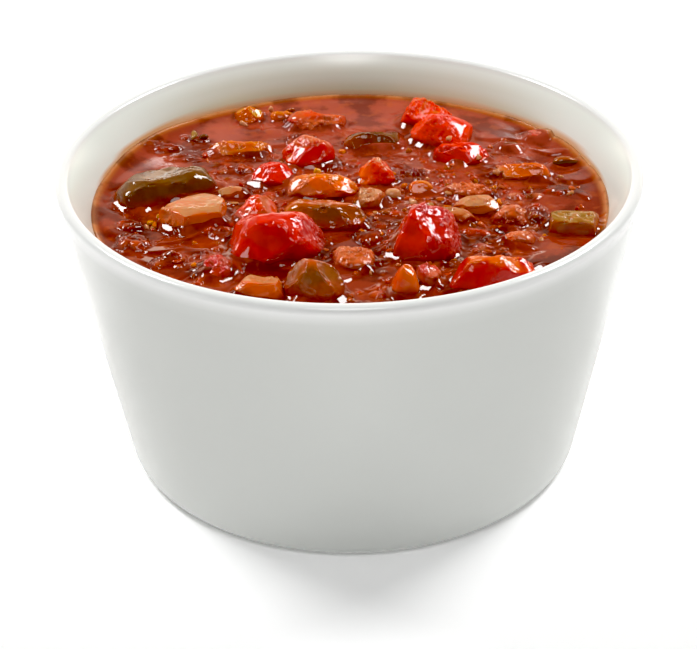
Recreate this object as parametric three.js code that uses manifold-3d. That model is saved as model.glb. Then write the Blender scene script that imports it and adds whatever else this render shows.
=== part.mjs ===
// A bowl of salsa: a white glazed dip bowl, the sauce that fills it nearly to the rim, and the cut
// tomato, green pepper and onion that stand out of the sauce.
// Millimetres, +Z up. The origin is the middle of the foot, on the surface the bowl stands on.

import * as THREE from "three";
import Module from "manifold-3d";

const wasm = await Module();
wasm.setup();

// Driving dimensions of the bowl
const RIM_RADIUS = 51;
const HEIGHT = 55;
const BASE_RADIUS = 40.8; // where the straight outer wall would meet the table
const BASE_CORNER = 3;
const RIM_OUTER_ROUND = 1.2;
const RIM_INNER_ROUND = 1.2;
const LIP_RADIUS = 48.5; // inside of the rim
const FOOT_INNER_RADIUS = 33;
const FOOT_RECESS = 1.2;
const FLOOR_LEVEL = 5;
const FLOOR_RADIUS = 37.9; // where the straight inner wall would meet the floor
const FLOOR_CORNER = 8;
const FLARE_LEVEL = 44; // the inner wall opens out above this
const BOWL_SEGMENTS = 48;

// Driving dimensions of the sauce
const SAUCE_LEVEL = 47.2;
const SAUCE_RADIUS = 45.1; // where its top meets the wall
const GAP = 0.3; // between two touching pieces

// Sides of a piece: how many round it and how many from its bottom to its top
const LARGE_PIECE = 9;
const SIDES_LARGE = [16, 8];
const SIDES_SMALL = [8, 6];

const CERAMIC = { color: 0xf2f3ef, roughness: 0.12, metalness: 0 };
const SAUCE = { color: 0x8c2a12, roughness: 0.2, metalness: 0 };
const FOOD = {
  tomato: { color: 0xb81608, roughness: 0.18, metalness: 0 },
  pale_tomato: { color: 0xc25a14, roughness: 0.22, metalness: 0 },
  pepper: { color: 0x6e5a12, roughness: 0.2, metalness: 0 },
  onion: { color: 0xd09a68, roughness: 0.25, metalness: 0 },
  pulp: { color: 0xa84a24, roughness: 0.3, metalness: 0 },
};

// The cut pieces. at is the middle in plan and rise the height of the top above the sauce.
// size is length, width and depth, and turn the angle of the length in degrees.
// plan and side say how square the piece is: 2 is round, 4 a block with round edges, under 2 a peak.
// taper narrows the end at +length, and bend bows the length sideways, in millimetres.
const PIECES = [
  { name: "tomato_left", food: "tomato", at: [-12.6, -16.9], rise: 5.9, size: [16.8, 11.4, 10], turn: 6, side: 2.2, taper: 0.15 },
  { name: "tomato_right", food: "tomato", at: [12.3, -16.6], rise: 7, size: [12, 12.6, 12], turn: -20, plan: 2.4, side: 1.7 },
  { name: "tomato_by_lip", food: "tomato", at: [22.9, -29.3], rise: 4.2, size: [13.2, 6.4, 8.2], turn: 8 },
  { name: "tomato_cone", food: "tomato", at: [9, -31.8], rise: 4.7, size: [4.8, 4.8, 7.6], side: 1.6 },
  { name: "tomato_back", food: "tomato", at: [17.2, 25.4], rise: 4.6, size: [10.8, 8.2, 8.6], turn: -22 },
  { name: "tomato_back_flap", food: "tomato", at: [14.6, 33.4], rise: 4.2, size: [9.2, 5.2, 6.4], turn: -8 },
  { name: "tomato_low", food: "tomato", at: [20.2, 16.4], rise: 2.9, size: [9.9, 5.8, 6], turn: -12 },
  { name: "tomato_middle", food: "tomato", at: [-7.6, 17.2], rise: 4.2, size: [8.8, 7.2, 7], turn: 10 },
  { name: "tomato_ball", food: "tomato", at: [-14, 9.6], rise: 2.6, size: [7.4, 7.2, 6] },
  { name: "tomato_peak", food: "tomato", at: [5.1, 8.6], rise: 4.3, size: [5.9, 5, 6.8], side: 1.7 },
  { name: "tomato_far", food: "tomato", at: [-6, 33], rise: 2.5, size: [10.6, 6, 5.2] },
  { name: "tomato_flap", food: "tomato", at: [-16.1, -4.7], rise: 3.9, size: [7.4, 6, 6], turn: 25, side: 2 },
  { name: "tomato_bit", food: "tomato", at: [34.6, 25], rise: 1.2, size: [5, 2.8, 2.9], turn: -32 },
  { name: "pepper_left", food: "pepper", at: [-32.9, 4.9], rise: 3.6, size: [18.6, 9, 7.5], turn: 24, plan: 2.4, bend: -1.2 },
  { name: "pepper_middle", food: "pepper", at: [-4.4, -6.6], rise: 3, size: [13.2, 6.2, 6], turn: -13, bend: 0.6 },
  { name: "pepper_front", food: "pepper", at: [-6, -31.4], rise: 5.3, size: [9.2, 7.4, 8.8], turn: -12, side: 1.9 },
  { name: "pepper_back", food: "pepper", at: [4.6, 24], rise: 2.2, size: [10.6, 6.4, 5.2], turn: 6 },
  { name: "pepper_right", food: "pepper", at: [38.2, -10.6], rise: 2.2, size: [8.8, 5.6, 4.8], turn: -8, plan: 3.4, side: 3.2 },
  { name: "pepper_sliver", food: "pepper", at: [17.6, -7.4], rise: 1.7, size: [7.6, 3.8, 3.4], turn: -16, plan: 2.2, taper: 0.3 },
  { name: "pepper_bit_back", food: "pepper", at: [29.6, 21.2], rise: 0.9, size: [4.2, 2.6, 2.3] },
  { name: "pepper_bit_wall", food: "pepper", at: [39.4, 14.4], rise: 1.1, size: [4.4, 2.3, 2.5] },
  { name: "pepper_bit_front", food: "pepper", at: [-29, -20.4], rise: 1.3, size: [2.7, 2.2, 2.6], turn: 30 },
  { name: "onion_left", food: "onion", at: [-26.8, -5.2], rise: 2.8, size: [11.8, 8.6, 4.8], turn: 24, plan: 3.2, side: 3.6 },
  { name: "onion_right", food: "onion", at: [22.5, -3.6], rise: 2.2, size: [7.6, 4.4, 4.4], turn: 6, plan: 3 },
  { name: "onion_bit_left", food: "onion", at: [-20.9, 3], rise: 1.6, size: [4.6, 2.8, 2.8], turn: 4, plan: 3 },
  { name: "onion_bit_middle", food: "onion", at: [7.6, 2], rise: 1.3, size: [2.7, 2.2, 2.5] },
  { name: "pale_tomato_middle", food: "pale_tomato", at: [-5.1, 3.6], rise: 3.4, size: [11.4, 4.8, 5.8], turn: -4, plan: 3 },
  { name: "pale_tomato_front", food: "pale_tomato", at: [-14.9, -31.6], rise: 3.1, size: [7.6, 4.8, 6], turn: 2, plan: 3.2, side: 3 },
  { name: "pale_tomato_right", food: "pale_tomato", at: [31.2, 9.6], rise: 2.3, size: [9.6, 4.2, 4.8], plan: 3 },
  { name: "pale_tomato_long", food: "pale_tomato", at: [-20, 20.9], rise: 1.9, size: [11.8, 4, 3.8], turn: 3 },
  { name: "pale_tomato_back", food: "pale_tomato", at: [-19, 36.2], rise: 2.2, size: [5, 4.4, 4.2] },
  { name: "pale_tomato_back_bit", food: "pale_tomato", at: [-12.6, 35.4], rise: 1.6, size: [4.4, 3, 3.2] },
  { name: "pale_tomato_bit", food: "pale_tomato", at: [12.6, 3.6], rise: 1.8, size: [4, 2.8, 3.2] },
  { name: "pulp_right", food: "pulp", at: [20.8, 2.6], rise: 1.7, size: [7.6, 3.8, 3.9] },
  { name: "pulp_by_onion", food: "pulp", at: [27.9, -7.6], rise: 2, size: [5.8, 5.2, 4.4], turn: -20 },
  { name: "pulp_by_lip", food: "pulp", at: [28.8, -15.4], rise: 1.8, size: [5.4, 4, 4], turn: -20 },
  { name: "pulp_middle", food: "pulp", at: [3.6, -0.4], rise: 2.3, size: [4.7, 4.6, 4.6] },
  { name: "pulp_by_cone", food: "pulp", at: [12.8, -28.8], rise: 2.8, size: [3.8, 3.6, 4.8] },
  { name: "pulp_left", food: "pulp", at: [-22, -25], rise: 2.2, size: [4.6, 6.4, 4.8] },
  { name: "pulp_front", food: "pulp", at: [0.4, -21.6], rise: 2, size: [6.6, 6.4, 4.6] },
];

// Small bits that lie under a coat of sauce, as low humps of its surface
const HUMPS = [
  { at: [-34.7, 23.3], rise: 0.9, size: [4.2, 3.4, 2.4] },
  { at: [-31.3, 19.3], rise: 0.7, size: [5.2, 2.6, 2.2] },
  { at: [-29.1, 26.4], rise: 0.7, size: [3.2, 1.8, 1.8] },
  { at: [-36.9, -14.5], rise: 1.1, size: [5.6, 6, 3] },
  { at: [-30.6, -21.6], rise: 1.1, size: [6.8, 5, 3.4] },
  { at: [-25, -29.6], rise: 0.6, size: [3.6, 2.6, 2] },
  { at: [-38, -8], rise: 0.7, size: [4.5, 3, 2], turn: 20 },
  { at: [32.7, -5.6], rise: 1, size: [4, 5.4, 3] },
  { at: [24.5, -15.6], rise: 0.7, size: [5.4, 2.4, 2], turn: -35 },
  { at: [36.2, 2.8], rise: 0.5, size: [5.6, 3, 2] },
  { at: [3.6, -13.2], rise: 1, size: [5.4, 5.4, 3.2] },
  { at: [-8.8, 25.2], rise: 1.6, size: [6, 4, 4] },
  { at: [-20, 14.8], rise: 1.4, size: [6, 4.6, 3.6] },
  { at: [11.6, 11], rise: 0.6, size: [5.4, 3, 2] },
];

// Closed surface made of a bottom point, rings of points and a top point.
function closedRings(bottom, rings, top) {
  const around = rings[0].length;
  const points = [bottom, ...rings.flat(), top];
  const last = points.length - 1;
  const index = [];
  for (let i = 0; i < around; i++) {
    const j = (i + 1) % around;
    index.push(0, 1 + j, 1 + i);
    for (let k = 0; k + 1 < rings.length; k++) {
      const low = 1 + k * around;
      const high = low + around;
      index.push(low + i, low + j, high + j, low + i, high + j, high + i);
    }
    const rim = 1 + (rings.length - 1) * around;
    index.push(rim + i, rim + j, last);
  }
  return new wasm.Manifold(
    new wasm.Mesh({
      numProp: 3,
      vertProperties: new Float32Array(points.flat()),
      triVerts: new Uint32Array(index),
    }),
  );
}

// Solid of revolution about Z from points (radius, height), from the axis below to the axis above.
function turned(profile) {
  const rings = profile.slice(1, -1).map(([radius, z]) =>
    Array.from({ length: BOWL_SEGMENTS }, (_, i) => {
      const angle = (2 * Math.PI * i) / BOWL_SEGMENTS;
      return [radius * Math.cos(angle), radius * Math.sin(angle), z];
    }),
  );
  return closedRings([0, 0, profile[0][1]], rings, [0, 0, profile.at(-1)[1]]);
}

// Points of an arc of the given centre and radius between two angles in degrees.
function arc(radius, z, round, from, to, steps) {
  return Array.from({ length: steps + 1 }, (_, i) => {
    const angle = THREE.MathUtils.degToRad(from + ((to - from) * i) / steps);
    return [radius + round * Math.cos(angle), z + round * Math.sin(angle)];
  });
}

// Radius of the outer wall, a straight taper.
function outerRadius(z) {
  return BASE_RADIUS + ((RIM_RADIUS - BASE_RADIUS) * z) / (HEIGHT - RIM_OUTER_ROUND);
}

// Radius of the inner wall: a straight taper through the sauce's edge that opens out to the lip.
function innerRadius(z) {
  const slope = (SAUCE_RADIUS - FLOOR_RADIUS) / (SAUCE_LEVEL - FLOOR_LEVEL);
  const straight = (level) => FLOOR_RADIUS + slope * (level - FLOOR_LEVEL);
  const lip = HEIGHT - RIM_INNER_ROUND;
  const flare = LIP_RADIUS - straight(lip);
  const part = Math.max(0, z - FLARE_LEVEL) / (lip - FLARE_LEVEL);
  return straight(z) + flare * part * part;
}

function bowl() {
  const tilt = THREE.MathUtils.radToDeg(Math.atan((RIM_RADIUS - BASE_RADIUS) / HEIGHT));
  const outerCentre = outerRadius(BASE_CORNER) - BASE_CORNER / Math.cos(THREE.MathUtils.degToRad(tilt));
  const lip = HEIGHT - RIM_INNER_ROUND;
  const wallLevels = [51.2, 48.8, 46.4, FLARE_LEVEL];
  return turned([
    [0, FOOT_RECESS],
    [FOOT_INNER_RADIUS - FOOT_RECESS, FOOT_RECESS],
    [FOOT_INNER_RADIUS, 0],
    ...arc(outerCentre, BASE_CORNER, BASE_CORNER, -90, -tilt, 3),
    ...arc(RIM_RADIUS - RIM_OUTER_ROUND, HEIGHT - RIM_OUTER_ROUND, RIM_OUTER_ROUND, -tilt, 90, 3),
    ...arc(LIP_RADIUS + RIM_INNER_ROUND, lip, RIM_INNER_ROUND, 90, 180, 3),
    ...wallLevels.map((z) => [innerRadius(z), z]),
    ...arc(innerRadius(FLOOR_LEVEL + FLOOR_CORNER) - FLOOR_CORNER, FLOOR_LEVEL + FLOOR_CORNER, FLOOR_CORNER, 0, -90, 4),
    [0, FLOOR_LEVEL],
  ]);
}

// Cosine or sine drawn out towards a square: power 1 is a circle, less is squarer.
const squared = (value, power) => Math.sign(value) * Math.abs(value) ** power;

// One cut piece: an uneven block with round edges, its top at the stated rise over the sauce.
// grow makes it larger all round, and seed sets where its unevenness falls.
function piece({ at, rise, size, turn = 0, plan = 2.6, side = 2.4, taper = 0, bend = 0 }, seed, grow = 0) {
  const UNEVEN = 0.05;
  const [length, width, depth] = size.map((s) => s / 2 + grow);
  const [around, levels] = size[0] > LARGE_PIECE ? SIDES_LARGE : SIDES_SMALL;
  const angle = THREE.MathUtils.degToRad(turn);
  const middle = SAUCE_LEVEL + rise - size[2] / 2;
  const point = (u, v) => {
    const out = squared(Math.cos(v), 2 / side);
    const bump = Math.sin(3 * u + seed) + 0.6 * Math.sin(2 * u + 3 * v + 2.1 * seed);
    const swell = 1 + UNEVEN * Math.cos(v) * bump;
    const x = length * out * squared(Math.cos(u), 2 / plan) * swell;
    const along = x / length;
    const y = width * out * squared(Math.sin(u), 2 / plan) * swell * (1 - taper * along);
    const bowed = y + bend * (along * along - 0.4);
    const lift = 1 + UNEVEN * Math.cos(v) * Math.cos(2 * u + 1.7 * seed);
    return [
      at[0] + x * Math.cos(angle) - bowed * Math.sin(angle),
      at[1] + x * Math.sin(angle) + bowed * Math.cos(angle),
      middle + depth * squared(Math.sin(v), 2 / side) * lift,
    ];
  };
  const rings = Array.from({ length: levels - 1 }, (_, k) =>
    Array.from({ length: around }, (_, i) =>
      point((2 * Math.PI * i) / around, -Math.PI / 2 + (Math.PI * (k + 1)) / levels),
    ),
  );
  return closedRings(point(0, -Math.PI / 2), rings, point(0, Math.PI / 2));
}

// The largest body of a solid, without the scraps that a cut leaves.
function largest(solid) {
  return solid.decompose().sort((a, b) => b.volume() - a.volume())[0];
}

// The pieces, each later one cut back where it would cross an earlier one.
function cutPieces() {
  const solids = PIECES.map((spec, i) => piece(spec, i + 1));
  const grown = PIECES.map((spec, i) => piece(spec, i + 1, GAP));
  const fitted = solids.map((solid, i) => {
    const crossing = grown.slice(0, i).filter((other) => solid.intersect(other).volume() > 0);
    return crossing.length ? largest(crossing.reduce((left, other) => left.subtract(other), solid)) : solid;
  });
  return { fitted, grown };
}

// The sauce: it follows the inside of the bowl, carries the humps and is cut round every piece.
function sauce(grown) {
  const corner = FLOOR_LEVEL + FLOOR_CORNER;
  const filling = turned([
    [0, FLOOR_LEVEL + GAP],
    ...arc(innerRadius(corner) - FLOOR_CORNER, corner, FLOOR_CORNER - GAP, -90, 0, 4),
    [innerRadius(SAUCE_LEVEL) - GAP, SAUCE_LEVEL],
    [0, SAUCE_LEVEL],
  ]);
  const humped = HUMPS.reduce((all, hump, i) => all.add(piece(hump, i + 1)), filling);
  return largest(grown.reduce((left, other) => left.subtract(other), humped));
}

// A named mesh of a solid, in its own material.
function mesh(name, solid, finish) {
  const { vertProperties, triVerts } = solid.getMesh();
  const geometry = new THREE.BufferGeometry();
  geometry.setAttribute("position", new THREE.BufferAttribute(new Float32Array(vertProperties), 3));
  geometry.setIndex(new THREE.BufferAttribute(new Uint32Array(triVerts), 1));
  geometry.computeVertexNormals();
  const made = new THREE.Mesh(geometry, new THREE.MeshStandardMaterial(finish));
  made.name = name;
  return made;
}

const { fitted, grown } = cutPieces();
const salsaBowl = new THREE.Group();
salsaBowl.add(mesh("bowl", bowl(), CERAMIC));
salsaBowl.add(mesh("sauce", sauce(grown), SAUCE));
const vegetables = new THREE.Group();
PIECES.forEach((spec, i) => vegetables.add(mesh(spec.name, fitted[i], FOOD[spec.food])));
salsaBowl.add(vegetables);

export default salsaBowl;
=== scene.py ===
# A bowl of salsa: a white glazed dip bowl, glossy red sauce, and the cut tomato, green pepper and
# onion that stand out of it. Lengths are worked out in millimetres and scaled to metres in the meshes.

import bpy
import numpy as np
from mathutils import Matrix


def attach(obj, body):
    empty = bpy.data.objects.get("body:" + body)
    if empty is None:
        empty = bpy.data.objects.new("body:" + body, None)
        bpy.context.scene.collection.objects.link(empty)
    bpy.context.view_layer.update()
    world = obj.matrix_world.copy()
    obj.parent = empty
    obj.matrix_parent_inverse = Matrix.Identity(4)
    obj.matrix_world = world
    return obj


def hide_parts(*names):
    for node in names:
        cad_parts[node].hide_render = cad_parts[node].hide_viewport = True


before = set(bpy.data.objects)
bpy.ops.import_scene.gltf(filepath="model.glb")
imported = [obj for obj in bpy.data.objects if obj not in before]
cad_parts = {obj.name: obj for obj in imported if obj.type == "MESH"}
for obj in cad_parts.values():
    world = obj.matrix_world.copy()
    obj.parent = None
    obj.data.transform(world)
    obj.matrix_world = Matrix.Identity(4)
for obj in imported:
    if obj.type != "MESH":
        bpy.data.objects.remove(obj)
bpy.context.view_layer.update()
MM = 0.001

# Camera. It looks down on the bowl from the front, as a person at the table does.
# The bowl stands a little right of the middle of the picture and leans less than a degree in it.
PICTURE_WIDTH = 697
FOCAL_PIXELS = 2000
SENSOR = 36
CAMERA_ELEVATION = 30.45
CAMERA_DISTANCE = 364.7
CAMERA_AIM = 22.2
CAMERA_ROLL = -0.91
AXIS_OFFSET_PIXELS = 3.3

camera = bpy.data.objects.new("camera", bpy.data.cameras.new("camera"))
bpy.context.scene.collection.objects.link(camera)
camera.data.sensor_width = SENSOR
camera.data.lens = FOCAL_PIXELS * SENSOR / PICTURE_WIDTH
camera.data.shift_x = -AXIS_OFFSET_PIXELS / PICTURE_WIDTH
camera.data.clip_start = 0.01
down = np.radians(CAMERA_ELEVATION)
camera.matrix_world = (
    Matrix.Translation((
        0,
        -CAMERA_DISTANCE * np.cos(down) * MM,
        (CAMERA_AIM + CAMERA_DISTANCE * np.sin(down)) * MM,
    ))
    @ Matrix.Rotation(np.pi / 2 - down, 4, "X")
    @ Matrix.Rotation(np.radians(CAMERA_ROLL), 4, "Z")
)
bpy.context.scene.camera = camera
# The photo's darkest tones are cut off, as a contrast setting does, so the picture has a black level.
BLACK_LEVEL = 0.016
view = bpy.context.scene.view_settings
view.view_transform = "Standard"
view.use_curve_mapping = True
view.curve_mapping.black_level = (BLACK_LEVEL, BLACK_LEVEL, BLACK_LEVEL)
view.curve_mapping.update()


# Light and floor. Two soft boxes stand behind the bowl, high up at its left and right, so both shadows
# fall towards the camera and meet in front of it, and a weaker lamp fills the front. The room has a
# pale, warm backdrop low down at the back and is dim elsewhere.
class Wire:
    """One output of a node. Arithmetic on it adds Math nodes and gives the wire of the result."""

    def __init__(self, tree, socket):
        self.tree = tree
        self.socket = socket

    def math(self, operation, *values):
        """Adds a Math node with this operation, fed with numbers or wires."""
        made = self.tree.nodes.new("ShaderNodeMath")
        made.operation = operation
        for slot, value in zip(made.inputs, values):
            if isinstance(value, Wire):
                self.tree.links.new(value.socket, slot)
            else:
                slot.default_value = value
        return Wire(self.tree, made.outputs[0])

    def __add__(self, other):
        return self.math("ADD", self, other)

    def __sub__(self, other):
        return self.math("SUBTRACT", self, other)

    def __rsub__(self, other):
        return self.math("SUBTRACT", other, self)

    def __mul__(self, other):
        return self.math("MULTIPLY", self, other)

    def step(self, low, high):
        """0 below low, 1 above high and a smooth step between."""
        made = self.tree.nodes.new("ShaderNodeMapRange")
        made.interpolation_type = "SMOOTHSTEP"
        self.tree.links.new(self.socket, made.inputs["Value"])
        made.inputs["From Min"].default_value = low
        made.inputs["From Max"].default_value = high
        return Wire(self.tree, made.outputs[0])

    __radd__ = __add__
    __rmul__ = __mul__


class Finish:
    """A node tree under construction: a material's, or the world's."""

    def __init__(self, owner):
        owner.use_nodes = True
        self.owner = owner
        self.tree = owner.node_tree
        self.tree.nodes.clear()

    def node(self, kind, settings=None, inputs=None, output=0):
        """Adds a node of this type, with its settings first and then its sockets' values or links."""
        made = self.tree.nodes.new(kind)
        for name, value in (settings or {}).items():
            setattr(made, name, value)
        for name, value in (inputs or {}).items():
            slot = made.inputs[name]
            if isinstance(value, Wire):
                self.tree.links.new(value.socket, slot)
            elif slot.type == "RGBA" and len(value) == 3:
                slot.default_value = (*value, 1)
            else:
                slot.default_value = value
        return Wire(self.tree, made.outputs[output]) if len(made.outputs) else made

    def mix(self, mask, first, second, blend="MIX"):
        """The first colour where the mask is 0 and the second, or its blend, where it is 1."""
        settings = {"data_type": "RGBA", "blend_type": blend}
        return self.node("ShaderNodeMix", settings, {0: mask, 6: first, 7: second}, 2)

    def stored(self, name, output):
        """What put_values has put on the vertices, read as Color or as Fac."""
        return self.node("ShaderNodeAttribute", {"attribute_name": name}, output=output)

    def noise(self, scale, detail):
        """Cloudy random field with that many lumps to the metre."""
        place = self.node("ShaderNodeTexCoord", output="Object")
        return self.node("ShaderNodeTexNoise", inputs={"Vector": place, "Scale": scale, "Detail": detail})

    def bump(self, height, strength=1.0, distance=MM):
        """Normal of a surface raised by the height."""
        inputs = {"Strength": strength, "Distance": distance, "Height": height}
        return self.node("ShaderNodeBump", inputs=inputs)

    def surface(self, inputs):
        """Gives the material a Principled surface with these inputs, and returns the material."""
        shader = self.node("ShaderNodeBsdfPrincipled", inputs=inputs)
        self.node("ShaderNodeOutputMaterial", inputs={"Surface": shader})
        return self.owner


# Strengths of the room's light, and between which heights or sides each of its parts ends.
HORIZON_LIGHT = 2.4
HORIZON_TOP = (0.24, 0.32)
BACKDROP_LIGHT = 0.7
BACKDROP_TOP = (0.43, 0.49)
BACKDROP_SIDE = (0.55, 0.9)
BACKDROP_TINT = (1.0, 0.86, 0.72)
HIGH_BACK_LIGHT = 0.32
LOW_LIGHT = 0.3
LOW_TOP = (0.5, 0.68)
HIGH_LIGHT = 0.03


def room():
    """Sky of the studio by direction: a pale backdrop behind, brightest at the horizon, and a dim room
    elsewhere, with some light low down."""
    world = bpy.data.worlds.new("studio")
    bpy.context.scene.world = world
    sky = Finish(world)
    direction = sky.node("ShaderNodeTexCoord", output="Generated")
    y, z = (sky.node("ShaderNodeSeparateXYZ", inputs={0: direction}, output=i) for i in (1, 2))
    behind = y.step(*BACKDROP_SIDE)
    back = (1 - z.step(*HORIZON_TOP)) * (HORIZON_LIGHT - BACKDROP_LIGHT)
    back = back + (1 - z.step(*BACKDROP_TOP)) * (BACKDROP_LIGHT - HIGH_BACK_LIGHT) + HIGH_BACK_LIGHT
    around = (1 - z.step(*LOW_TOP)) * (LOW_LIGHT - HIGH_LIGHT) + HIGH_LIGHT
    strength = behind * back + (1 - behind) * around
    sky.node("ShaderNodeOutputWorld", inputs={
        "Surface": sky.node("ShaderNodeBackground", inputs={
            "Color": sky.mix(behind, (1, 1, 1), BACKDROP_TINT),
            "Strength": strength,
        }),
    })


LAMP_DISTANCE = 0.8


def soft_box(name, elevation, azimuth, size, power):
    """Oval light that faces the bowl from the given direction, azimuth 90 being behind it."""
    lamp = bpy.data.lights.new(name, "AREA")
    lamp.shape = "ELLIPSE"
    lamp.size, lamp.size_y = size
    lamp.energy = power
    light = bpy.data.objects.new(name, lamp)
    bpy.context.scene.collection.objects.link(light)
    up, around = np.radians([elevation, azimuth])
    light.matrix_world = (
        Matrix.Translation((
            LAMP_DISTANCE * np.cos(up) * np.cos(around),
            LAMP_DISTANCE * np.cos(up) * np.sin(around),
            LAMP_DISTANCE * np.sin(up),
        ))
        @ Matrix.Rotation(around + np.pi / 2, 4, "Z")
        @ Matrix.Rotation(np.pi / 2 - up, 4, "X")
    )


room()
soft_box("left_box", elevation=50, azimuth=150, size=(0.26, 0.22), power=3.9)
soft_box("right_box", elevation=50, azimuth=34, size=(0.26, 0.22), power=3.9)
soft_box("front_lamp", elevation=60, azimuth=-90, size=(0.3, 0.3), power=1.65)

FLOOR_HALF = 1.5
TABLE_WHITE = (0.95, 0.95, 0.95)
TABLE_GLOW = 0.14

floor_mesh = bpy.data.meshes.new("floor")
floor_corners = [(x * FLOOR_HALF, y * FLOOR_HALF, 0) for x, y in ((-1, -1), (1, -1), (1, 1), (-1, 1))]
floor_mesh.from_pydata(floor_corners, [], [(0, 1, 2, 3)])
floor = bpy.data.objects.new("floor", floor_mesh)
bpy.context.scene.collection.objects.link(floor)
floor_mesh.materials.append(Finish(bpy.data.materials.new("white_table")).surface({
    "Base Color": TABLE_WHITE,
    "Roughness": 0.9,
    "Specular IOR Level": 0.0,
    "Emission Color": (1, 1, 1),
    "Emission Strength": TABLE_GLOW,
}))


# The bowl is thrown stoneware under a thick white gloss glaze: straight tapered wall, rounded foot
# edge and lip, and an inner wall that opens out near the lip. It stands on a bare foot ring.
RIM_RADIUS = 51
HEIGHT = 55
BASE_RADIUS = 40.8
BASE_CORNER = 3
RIM_OUTER_ROUND = 1.2
RIM_INNER_ROUND = 1.2
LIP_RADIUS = 48.5
FOOT_INNER_RADIUS = 33
FOOT_RECESS = 1.2
FLOOR_LEVEL = 5
FLOOR_RADIUS = 37.9
FLOOR_CORNER = 8
FLARE_LEVEL = 46.5
SAUCE_LEVEL = 47.2
SAUCE_RADIUS = 45.1
LIP_SLANT = 34
BOWL_SIDES = 256


def outer_radius(z):
    """Straight taper from the base's radius to the rim's."""
    return BASE_RADIUS + (RIM_RADIUS - BASE_RADIUS) * z / (HEIGHT - RIM_OUTER_ROUND)


def inner_radius(z):
    """Straight taper through the sauce's edge, plus a flare that grows with the square of the height."""
    slope = (SAUCE_RADIUS - FLOOR_RADIUS) / (SAUCE_LEVEL - FLOOR_LEVEL)
    lip = HEIGHT - RIM_INNER_ROUND * (1 - np.sin(np.radians(LIP_SLANT)))
    end = LIP_RADIUS + RIM_INNER_ROUND * (1 - np.cos(np.radians(LIP_SLANT)))
    flare = end - (FLOOR_RADIUS + slope * (lip - FLOOR_LEVEL))
    part = np.maximum(0, z - FLARE_LEVEL) / (lip - FLARE_LEVEL)
    return FLOOR_RADIUS + slope * (z - FLOOR_LEVEL) + flare * part**2


def arc(radius, z, rounding, start, end, steps):
    """Points on a circle round (radius, z) between two angles in degrees."""
    angle = np.radians(np.linspace(start, end, steps + 1))
    return np.column_stack([radius + rounding * np.cos(angle), z + rounding * np.sin(angle)])


def new_piece(name, points, faces):
    """Smooth object at the origin from points in millimetres and faces, riding on the root body."""
    mesh = bpy.data.meshes.new(name)
    mesh.from_pydata(points * MM, [], faces)
    mesh.polygons.foreach_set("use_smooth", np.full(len(mesh.polygons), True))
    mesh.update()
    piece = bpy.data.objects.new(name, mesh)
    bpy.context.scene.collection.objects.link(piece)
    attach(piece, "root")
    return piece


def ring_faces(rings, around):
    """Faces between rings of points. The first and the last point of the list close the ends."""
    i = np.arange(around)
    j = (i + 1) % around
    low = 1 + np.arange(rings - 1)[:, None] * around
    quads = np.stack([low + i, low + j, low + around + j, low + around + i], -1).reshape(-1, 4)
    top = 1 + (rings - 1) * around
    bottom_end = np.stack([0 * i, 1 + j, 1 + i], -1)
    top_end = np.stack([top + i, top + j, 0 * i + top + around], -1)
    return quads.tolist() + bottom_end.tolist() + top_end.tolist()


def turned(name, profile, sides):
    """Solid of revolution about Z from a profile (radius, z) that starts and ends on the axis."""
    angle = np.linspace(0, 2 * np.pi, sides, endpoint=False)
    rings = profile[1:-1]
    x = rings[:, :1] * np.cos(angle)
    y = rings[:, :1] * np.sin(angle)
    z = np.broadcast_to(rings[:, 1:], x.shape)
    points = np.stack([x, y, z], -1).reshape(-1, 3)
    points = np.concatenate([[[0, 0, profile[0, 1]]], points, [[0, 0, profile[-1, 1]]]])
    return new_piece(name, points, ring_faces(len(rings), sides))


GLAZE_CLOUD = (0.97, 0.972, 0.975)


def glaze():
    """White gloss glaze: nearly even, with a faint cloudiness and slow waves in its surface, and a tone
    by place that holds painted light and shade."""
    finish = Finish(bpy.data.materials.new("white_glaze"))
    cloud = finish.noise(60, 3)
    return finish.surface({
        "Base Color": finish.mix(cloud, finish.stored("tone", "Color"), GLAZE_CLOUD, "MULTIPLY"),
        "Roughness": 0.16 + cloud * 0.1,
        "IOR": 1.5,
        "Normal": finish.bump(finish.noise(55, 1), 0.12, 0.4 * MM),
    })


def bowl_profile():
    """The wall's section, from the middle of the underside round the rim to the middle of the floor."""
    tilt = np.degrees(np.arctan((RIM_RADIUS - BASE_RADIUS) / HEIGHT))
    outer_centre = outer_radius(BASE_CORNER) - BASE_CORNER / np.cos(np.radians(tilt))
    lip = HEIGHT - RIM_INNER_ROUND
    slant_end = HEIGHT - RIM_INNER_ROUND * (1 - np.sin(np.radians(LIP_SLANT)))
    corner = FLOOR_LEVEL + FLOOR_CORNER
    wall = np.linspace(BASE_CORNER, HEIGHT - RIM_OUTER_ROUND, 24)[1:-1]
    inside = np.linspace(slant_end, corner, 60)[1:-1]
    recess = (0, FOOT_INNER_RADIUS / 2, FOOT_INNER_RADIUS - FOOT_RECESS)
    return np.concatenate([
        [[radius, FOOT_RECESS] for radius in recess],
        arc(FOOT_INNER_RADIUS, FOOT_RECESS / 2, FOOT_RECESS / 2, 180, 270, 6),
        arc(outer_centre, BASE_CORNER, BASE_CORNER, -90, -tilt, 14),
        np.column_stack([outer_radius(wall), wall]),
        arc(RIM_RADIUS - RIM_OUTER_ROUND, HEIGHT - RIM_OUTER_ROUND, RIM_OUTER_ROUND, -tilt, 90, 14),
        arc(LIP_RADIUS + RIM_INNER_ROUND, lip, RIM_INNER_ROUND, 90, 180 - LIP_SLANT, 14),
        np.column_stack([inner_radius(inside), inside]),
        arc(inner_radius(corner) - FLOOR_CORNER, corner, FLOOR_CORNER, 0, -90, 14),
        [[0, FLOOR_LEVEL]],
    ])


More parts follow.
